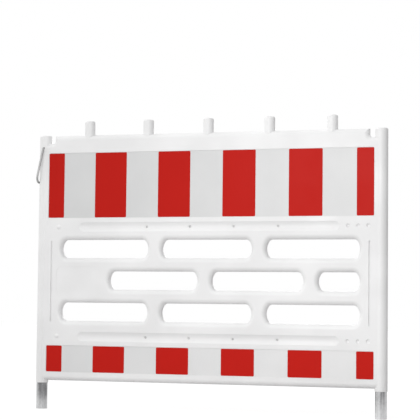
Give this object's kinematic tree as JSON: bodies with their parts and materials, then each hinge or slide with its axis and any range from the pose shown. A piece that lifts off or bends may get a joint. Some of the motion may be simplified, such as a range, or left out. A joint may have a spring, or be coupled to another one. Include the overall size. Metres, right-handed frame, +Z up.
{
  "type": "construction barrier",
  "caption": "Slotted moulded plastic road barrier panel with red and white sheeting, lamp pegs on the rail, plug-in foot tubes and a swinging coupling bail.",
  "frame": {"origin": "on the ground line of the foot tubes' lower ends, midway between the posts, on the plane where the half shells meet", "axes": "+X along the panel towards the post without the bail, +Z up along the posts, -Y towards the pictured front"},
  "size_m": [1.3833, 0.066, 1.113],
  "materials": {
    "white_plastic": "moulded, fine grain",
    "white_sheeting": "satin reflective film",
    "red_sheeting": "satin reflective film",
    "galvanised_steel": "zinc plated"
  },
  "bodies": {
    "barrier": {"front_shell": "white_plastic", "rear_shell": "white_plastic", "left_foot_tube": "galvanised_steel", "right_foot_tube": "galvanised_steel", "shell_screws": "galvanised_steel", "foot_screws": "galvanised_steel", "lamp_peg_1": "white_plastic", "lamp_peg_2": "white_plastic", "lamp_peg_3": "white_plastic", "lamp_peg_4": "white_plastic", "lamp_peg_5": "white_plastic", "front_upper_sheet": "white_sheeting", "front_lower_sheet": "white_sheeting", "rear_upper_sheet": "white_sheeting", "rear_lower_sheet": "white_sheeting", "front_upper_red_fields": "red_sheeting", "front_lower_red_fields": "red_sheeting", "rear_upper_red_fields": "red_sheeting", "rear_lower_red_fields": "red_sheeting"},
    "bail": {"coupling_bail": "galvanised_steel"}
  },
  "joints": [
    {"name": "bail_swing", "type": "hinge", "parent": "barrier", "child": "bail", "pos_m": [-0.664, 0, 1.0105], "axis": [0, 1, 0], "range_deg": [0, 235]}
  ]
}
